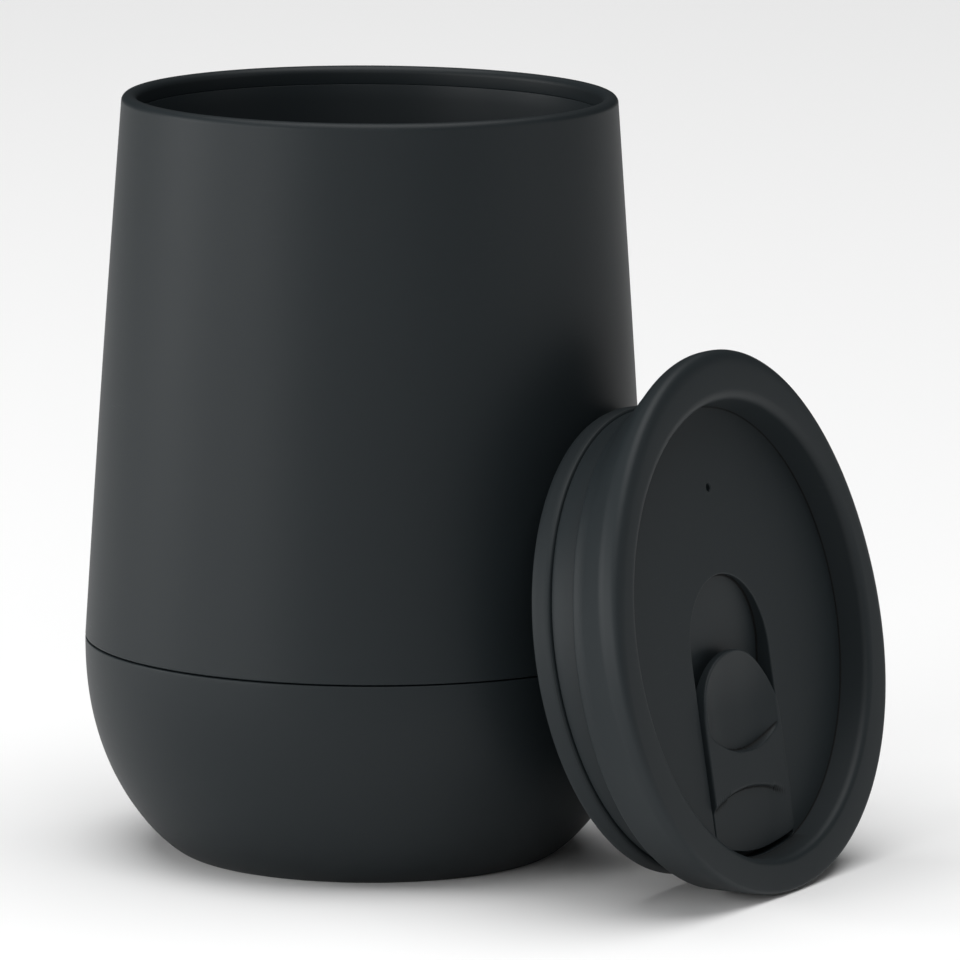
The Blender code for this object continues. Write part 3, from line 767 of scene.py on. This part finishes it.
def finish_material(name, colour, roughness, groups, centre, grain=1.0, tone=0.1):
    """Moulded finish: toned colour, grain in the bump, a painted sheen on sharp edges, painted shade
    and more roughness in creases.
    """
    material = bpy.data.materials.new(name)
    material.use_nodes = True
    tree = material.node_tree
    shader = tree.nodes["Principled BSDF"]
    shader.inputs["Specular IOR Level"].default_value = SPECULAR
    where = tree.nodes.new("ShaderNodeTexCoord")
    mapping = tree.nodes.new("ShaderNodeMapping")
    mapping.inputs["Location"].default_value = tuple(-c for c in centre)
    tree.links.new(where.outputs["Object"], mapping.inputs["Vector"])
    grains, marks = (placed(tree, group, mapping.outputs["Vector"]) for group in groups)
    clouds, rubs = grains.outputs["Tone"], marks.outputs["Rubs"]
    edge, cavity = stored(tree, "edge"), stored(tree, "cavity")

    paler = tree.nodes.new("ShaderNodeMix")
    paler.data_type = "RGBA"
    paler.clamp_factor = False
    paler.inputs["A"].default_value = (*[c * (1.0 - tone) for c in colour], 1.0)
    paler.inputs["B"].default_value = (*[c * (1.0 + tone) for c in colour], 1.0)
    # Painted sheen: sharp edges are lifted paler, as if catching the light; rubs are paler from
    # wear.
    lift = math_node(tree, "ADD", clouds, scaled(tree, edge, EDGE_SHEEN))
    lift = math_node(tree, "ADD", lift, scaled(tree, rubs, RUB_PALER))
    tree.links.new(lift, paler.inputs["Factor"])
    # Painted shade: concave creases are mixed towards near black, where shade would fall.
    darker = tree.nodes.new("ShaderNodeMix")
    darker.data_type = "RGBA"
    darker.inputs["B"].default_value = CREASE_SHADE_COLOUR
    tree.links.new(paler.outputs["Result"], darker.inputs["A"])
    tree.links.new(cavity, darker.inputs["Factor"])
    tree.links.new(darker.outputs["Result"], shader.inputs["Base Color"])

    dull = math_node(tree, "MULTIPLY_ADD", clouds, TONE_ROUGHER)
    dull.node.inputs[2].default_value = roughness - TONE_ROUGHER / 2
    dull = math_node(tree, "SUBTRACT", dull, scaled(tree, edge, EDGE_SMOOTHER))
    dull = math_node(tree, "SUBTRACT", dull, scaled(tree, rubs, RUB_SMOOTHER))
    dull = math_node(tree, "ADD", dull, scaled(tree, cavity, CREASE_ROUGHER))
    tree.links.new(dull, shader.inputs["Roughness"])
    bump = tree.nodes.new("ShaderNodeBump")
    bump.inputs["Strength"].default_value = GRAIN_STRENGTH
    bump.inputs["Distance"].default_value = GRAIN_HEIGHT * grain
    tree.links.new(grains.outputs["Height"], bump.inputs["Height"])
    tree.links.new(bump.outputs["Normal"], shader.inputs["Normal"])
    return material


def middle_of(node):
    """Middle of a CAD node's box."""
    return [(low + high) / 2 for low, high in zip(*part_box(node))]


def finishes(scene):
    """The object's four finishes, made once and found again by name."""
    look = scene.tumbler_finish
    if "charcoal_shell" not in bpy.data.materials:
        groups = (mould_grain_group(), handling_group())
        cup, lid = middle_of("outer_sleeve"), middle_of("lid_body")
        finish_material("charcoal_shell", look.shell_colour, 0.5, groups, cup)
        finish_material("charcoal_liner", look.liner_colour, 0.5, groups, cup, 0.6)
        finish_material("charcoal_lid", look.lid_colour, 0.52, groups, lid, 1.2)
        finish_material("grey_silicone", look.silicone_colour, 0.6, groups, lid, 0.5, 0.06)
    return bpy.data.materials


# ---------------------------------------------------------------- what a user may change

def size(name, description, default):
    """A length in metres."""
    return FloatProperty(name=name, description=description, default=default, unit="LENGTH",
                         precision=4)


def angle(name, description, default):
    """An angle in radians, shown in degrees."""
    return FloatProperty(name=name, description=description, default=default, subtype="ANGLE")


def colour(name, description, default):
    """A colour in linear light."""
    return FloatVectorProperty(name=name, description=description, default=default, subtype="COLOR",
                               size=3, min=0.0, max=1.0)


class TumblerCup(PropertyGroup):
    """Sizes of the cup"""

    height: size("Height", "Height of the cup to the top of its rim", SLEEVE_CORNER.z)
    rim_radius: size("Rim radius", "Outside radius at the rim", 37.0 * MM)
    widest_radius: size("Widest radius", "Outside radius at the seam", SLEEVE_CORNER.x)
    seam_height: size("Seam height", "Height of the seam between wall and base", 32.3 * MM)
    foot_radius: size("Foot radius", "Radius of the flat underside", 28.3 * MM)
    mouth_radius: size("Mouth radius", "Inside radius of the liner at its top", 34.7 * MM)
    rim_round: size("Rim rounding", "Radius of the rolled rim", 1.1 * MM)
    rim_band: size("Rim band", "Depth of the band inside the rim", 2.7 * MM)
    liner_foot_radius: size("Liner foot radius", "Inside radius above the round corner", 31.0 * MM)
    liner_floor: size("Liner floor", "Height of the floor inside the cup", 8.5 * MM)


class TumblerLid(PropertyGroup):
    """Sizes of the lid"""

    lip_radius: size("Lip radius", "Outside radius of the lid's lip", 40.4 * MM)
    recess_radius: size("Recess radius", "Radius of the sunk floor", 33.4 * MM)
    recess_draft: size("Recess draft", "How far the recess widens towards its rim", 0.7 * MM)
    recess_depth: size("Recess depth", "Depth of the sunk floor", 4.1 * MM)
    front_rise: size("Front rise", "How much the lip rises at the drinking side", 0.24 * MM)
    back_rise: size("Back rise", "How much the lip rises at the back", 1.1 * MM)
    back_round: size("Back rounding", "Rounding of the lip at the back", 2.2 * MM)
    front_round: size("Front rounding", "Rounding of the lip at the drinking side", 0.9 * MM)
    seat_depth: size("Seat depth", "Depth of the face that rests on the cup's rim", 5.2 * MM)
    skirt_depth: size("Skirt depth", "Depth of the skirt that enters the cup", 12.6 * MM)
    floor_thickness: size("Floor thickness", "Thickness of the sunk floor", 1.8 * MM)
    vent_radius: size("Vent radius", "Radius of the air vent", 0.6 * MM)
    vent_place: size("Vent place", "Where the vent is along the lid", -21.5 * MM)


class TumblerSlider(PropertyGroup):
    """Sizes of the slider and its track"""

    half_width: size("Half width", "Half of the slider's width", 11.2 * MM)
    rear: size("Rear", "Where the slider's rear end is when closed", 2.6 * MM)
    travel: size("Travel", "How far the slider moves back", 9.0 * MM)
    proud: size("Proud", "How far the slider stands above the floor", 0.65 * MM)
    side_gap: size("Side gap", "Gap between the slider and its track", 0.4 * MM)
    front_gap: size("Front gap", "Gap in front of the slider", 0.8 * MM)
    edge_round: size("Edge rounding", "Rounding of the slider's upper edge", 0.45 * MM)
    track_step: size("Track step", "Depth of the track at its rear end", 0.8 * MM)
    track_depth: size("Track depth", "Depth of the track under the slider", 2.9 * MM)
    dish_length: size("Dish length", "Length of the thumb dish", 14.8 * MM)
    dish_width: size("Dish width", "Width of the thumb dish", 20.6 * MM)
    dish_depth: size("Dish depth", "Depth of the thumb dish", 1.4 * MM)
    step_drop: size("Step drop", "Drop in front of the saddle", 0.6 * MM)


class TumblerFinish(PropertyGroup):
    """Colours of the finishes"""

    shell_colour: colour("Shell", "Colour of the cup's outside", (0.0102, 0.0140, 0.0160))
    liner_colour: colour("Liner", "Colour of the cup's inside", (0.0110, 0.0150, 0.0172))
    lid_colour: colour("Lid", "Colour of the lid and its slider", (0.0122, 0.0165, 0.0187))
    silicone_colour: colour("Silicone", "Colour of the seal and the pad", (0.0120, 0.0160, 0.0180))


class TumblerStage(PropertyGroup):
    """Floor, lights and camera"""

    floor_colour: colour("Floor", "Colour of the floor", (0.92, 0.92, 0.92))
    camera_bearing: angle("Bearing", "Side from which the camera looks", math.radians(30.9))
    camera_rise: angle("Rise", "Angle at which the camera looks down", 0.1652)
    camera_distance: size("Distance", "Distance from the camera to the cup's middle", 1.32)
    aim_height: size("Aim height", "Height at which the camera is aimed", 55.0 * MM)
    light: FloatProperty(name="Light", description="Strength of all the studio lights",
                         default=1.35, min=0.0)


# ---------------------------------------------------------------- operators

class TUMBLER_OT_cup(Operator):
    """Make the cup's upper wall, base and liner"""

    bl_idname = "tumbler.cup"
    bl_label = "Cup"

    def execute(self, context):
        cup = context.scene.tumbler_cup
        mats = finishes(context.scene)
        wall = skin("wall_sleeve", sleeve_rows(cup), ring=True)
        finish_piece(wall, "cup", mats["charcoal_shell"], "outer_sleeve")
        poles = ((0.0, 0.0, BASE_WALL), (0.0, 0.0, 0.0))
        base = skin("rounded_base", base_rows(cup), poles)
        finish_piece(base, "cup", mats["charcoal_shell"], "base_shell")
        poles = ((0.0, 0.0, cup.liner_floor), (0.0, 0.0, cup.liner_floor - LINER_WALL))
        liner = skin("inner_cup", liner_rows(cup), poles)
        finish_piece(liner, "cup", mats["charcoal_liner"], "liner_cup")
        return {"FINISHED"}


class TUMBLER_OT_lid(Operator):
    """Make the lid's body with its vent, guide slot and pour opening"""

    bl_idname = "tumbler.lid"
    bl_label = "Lid"

    def execute(self, context):
        scene = context.scene
        cup, lid, slide = scene.tumbler_cup, scene.tumbler_lid, scene.tumbler_slider
        body = skin("lid_shell", *lid_rows(cup, lid, slide))
        bottom = -slide.track_depth
        low = bottom - TRACK_WALL
        post = lid.recess_radius - POST_BACK
        rear = post - POST_HALF - slide.travel - 2 * FIT_GAP
        front = post + POST_HALF + FIT_GAP
        guide_half = ((front - rear) / 2, SLOT_HALF)
        vent_half = (lid.vent_radius, lid.vent_radius)
        cut(body, [
            cutter("pour", lid.recess_radius - POUR_BACK, POUR_HALF, low, bottom, 0.3 * MM),
            cutter("guide", (rear + front) / 2, guide_half, low, bottom + 0.7 * MM, power=9.0),
            cutter("vent", lid.vent_place, vent_half, -lid.floor_thickness, 0.0, 0.15 * MM),
        ])
        carry(body, lid)
        finish_piece(body, "lid", finishes(scene)["charcoal_lid"], "lid_body")
        return {"FINISHED"}


class TUMBLER_OT_seal(Operator):
    """Make the silicone seal round the lid's skirt"""

    bl_idname = "tumbler.seal"
    bl_label = "Seal"

    def execute(self, context):
        scene = context.scene
        ring = skin("silicone_seal", seal_rows(scene.tumbler_cup, scene.tumbler_lid), ring=True)
        carry(ring, scene.tumbler_lid)
        finish_piece(ring, "lid", finishes(scene)["grey_silicone"], "lid_seal")
        return {"FINISHED"}


class TUMBLER_OT_slider(Operator):
    """Make the slider with its thumb dish, and finish the pad and the keeper under it"""

    bl_idname = "tumbler.slider"
    bl_label = "Slider"

    def execute(self, context):
        scene = context.scene
        lid, slide = scene.tumbler_lid, scene.tumbler_slider
        mats = finishes(scene)
        plate = skin("thumb_slider", *slider_rows(lid, slide))
        face = -slide.track_depth + 2 * FIT_GAP
        pad_rear = lid.recess_radius - PAD_BACK - FIT_GAP
        pocket_half = (POCKET_HALF, slide.half_width + POCKET_SIDE)
        socket_half = (POST_HALF + FIT_GAP, SLOT_HALF)
        cut(plate, [
            cutter("pocket", pad_rear + POCKET_HALF, pocket_half, BELOW_SLIDER,
                   face + POCKET_DEPTH - CUTTER_OVERRUN, power=40.0),
            cutter("socket", lid.recess_radius - POST_BACK, socket_half, BELOW_SLIDER,
                   face + SOCKET_DEPTH, power=30.0),
        ])
        carry(plate, lid)
        finish_piece(plate, "closure", mats["charcoal_lid"], "slider")
        for node, material in (("slider_pad", "grey_silicone"), ("slider_keeper", "charcoal_lid")):
            mesh = frame["nodes"][node].data
            mesh.materials.clear()
            mesh.materials.append(mats[material])
        return {"FINISHED"}


def area_light(name, place, aim, width, watts):
    """A soft square light that faces the point it is aimed at."""
    light = bpy.data.lights.new(name, "AREA")
    light.shape = "RECTANGLE"
    light.size = light.size_y = width
    light.energy = watts
    lamp = bpy.data.objects.new(name, light)
    lamp.location = place
    lamp.rotation_euler = (Vector(aim) - Vector(place)).to_track_quat("-Z", "Y").to_euler()
    bpy.context.scene.collection.objects.link(lamp)


class TUMBLER_OT_stage(Operator):
    """Make the floor, the studio lights and the camera"""

    bl_idname = "tumbler.stage"
    bl_label = "Stage"

    def execute(self, context):
        scene = context.scene
        stage = scene.tumbler_stage
        self.make_floor(stage)
        bearing, rise = stage.camera_bearing, stage.camera_rise
        right = Vector((math.cos(bearing), math.sin(bearing), 0.0))
        level = Vector((-math.sin(bearing), math.cos(bearing), 0.0))
        ahead = level * math.cos(rise) - Vector((0.0, 0.0, math.sin(rise)))
        aim = Vector((0.0, 0.0, stage.aim_height))
        self.make_camera(scene, aim - ahead * stage.camera_distance, right, ahead)
        for name, side, high, width, distance, watts in STUDIO_LIGHTS:
            side, high = math.radians(side), math.radians(high)
            way = (right * math.sin(side) - level * math.cos(side)) * math.cos(high)
            way.z += math.sin(high)
            area_light(name, aim + way * distance, aim, width, watts * stage.light)
        self.make_world(scene)
        return {"FINISHED"}

    @staticmethod
    def make_floor(stage):
        """A wide plain floor at Z = 0."""
        mesh = bpy.data.meshes.new("floor")
        signs = ((-1, -1), (1, -1), (1, 1), (-1, 1))
        corners = [(x * FLOOR_REACH, y * FLOOR_REACH, 0.0) for x, y in signs]
        mesh.from_pydata(corners, [], [(0, 1, 2, 3)])
        floor = bpy.data.objects.new("floor", mesh)
        bpy.context.scene.collection.objects.link(floor)
        material = bpy.data.materials.new("pale_floor")
        material.use_nodes = True
        shader = material.node_tree.nodes["Principled BSDF"]
        shader.inputs["Base Color"].default_value = (*stage.floor_colour, 1.0)
        shader.inputs["Roughness"].default_value = 0.9
        shader.inputs["Specular IOR Level"].default_value = 0.1
        mesh.materials.append(material)

    @staticmethod
    def make_camera(scene, place, right, ahead):
        """Camera at the given place, turned a little so that the cup stands left of the middle."""
        up = right.cross(ahead)
        turn = Matrix.Rotation(CAMERA_TURNS["yaw"], 3, up)
        ahead, right = turn @ ahead, turn @ right
        turn = Matrix.Rotation(CAMERA_TURNS["pitch"], 3, right)
        ahead, up = turn @ ahead, turn @ up
        turn = Matrix.Rotation(CAMERA_TURNS["roll"], 3, ahead)
        right, up = turn @ right, turn @ up
        data = bpy.data.cameras.new("camera")
        data.lens = LENS_MM
        data.sensor_width = SENSOR_MM
        data.clip_end = 50.0
        camera = bpy.data.objects.new("camera", data)
        axes = Matrix((right, up, -ahead)).transposed()
        camera.matrix_world = Matrix.Translation(place) @ axes.to_4x4()
        scene.collection.objects.link(camera)
        scene.camera = camera

    @staticmethod
    def make_world(scene):
        """A faint even white light from all round."""
        world = bpy.data.worlds.new("studio")
        world.use_nodes = True
        sky = world.node_tree.nodes["Background"]
        sky.inputs["Color"].default_value = (1.0, 1.0, 1.0, 1.0)
        sky.inputs["Strength"].default_value = AMBIENT_STRENGTH
        scene.world = world
        scene.view_settings.view_transform = "Standard"


class TUMBLER_PT_panel(Panel):
    """Lists the operators and the settings in the sidebar"""

    bl_label = "Drinks Tumbler"
    bl_idname = "TUMBLER_PT_panel"
    bl_space_type = "VIEW_3D"
    bl_region_type = "UI"
    bl_category = "Tumbler"

    def draw(self, context):
        layout = self.layout
        for operator in OPERATORS:
            layout.operator(operator.bl_idname)
        for group in SETTINGS:
            settings = getattr(context.scene, group)
            box = layout.box()
            box.label(text=group.replace("_", " ").capitalize())
            for label in settings.bl_rna.properties.keys():
                if label not in ("rna_type", "name"):
                    box.prop(settings, label)


SETTINGS = {
    "tumbler_cup": TumblerCup,
    "tumbler_lid": TumblerLid,
    "tumbler_slider": TumblerSlider,
    "tumbler_finish": TumblerFinish,
    "tumbler_stage": TumblerStage,
}
OPERATORS = (TUMBLER_OT_cup, TUMBLER_OT_lid, TUMBLER_OT_seal, TUMBLER_OT_slider, TUMBLER_OT_stage)


def register():
    """Make the settings, the operators and the panel known to Blender."""
    for name, settings in SETTINGS.items():
        bpy.utils.register_class(settings)
        setattr(bpy.types.Scene, name, PointerProperty(type=settings))
    for operator in OPERATORS:
        bpy.utils.register_class(operator)
    bpy.utils.register_class(TUMBLER_PT_panel)


def unregister():
    """Take away what register made."""
    bpy.utils.unregister_class(TUMBLER_PT_panel)
    for operator in reversed(OPERATORS):
        bpy.utils.unregister_class(operator)
    for name, settings in SETTINGS.items():
        delattr(bpy.types.Scene, name)
        bpy.utils.unregister_class(settings)


def main():
    """Build the stage and every piece."""
    register()
    bpy.ops.tumbler.stage()
    bpy.ops.tumbler.cup()
    bpy.ops.tumbler.lid()
    bpy.ops.tumbler.seal()
    bpy.ops.tumbler.slider()


if __name__ == "__main__":
    main()
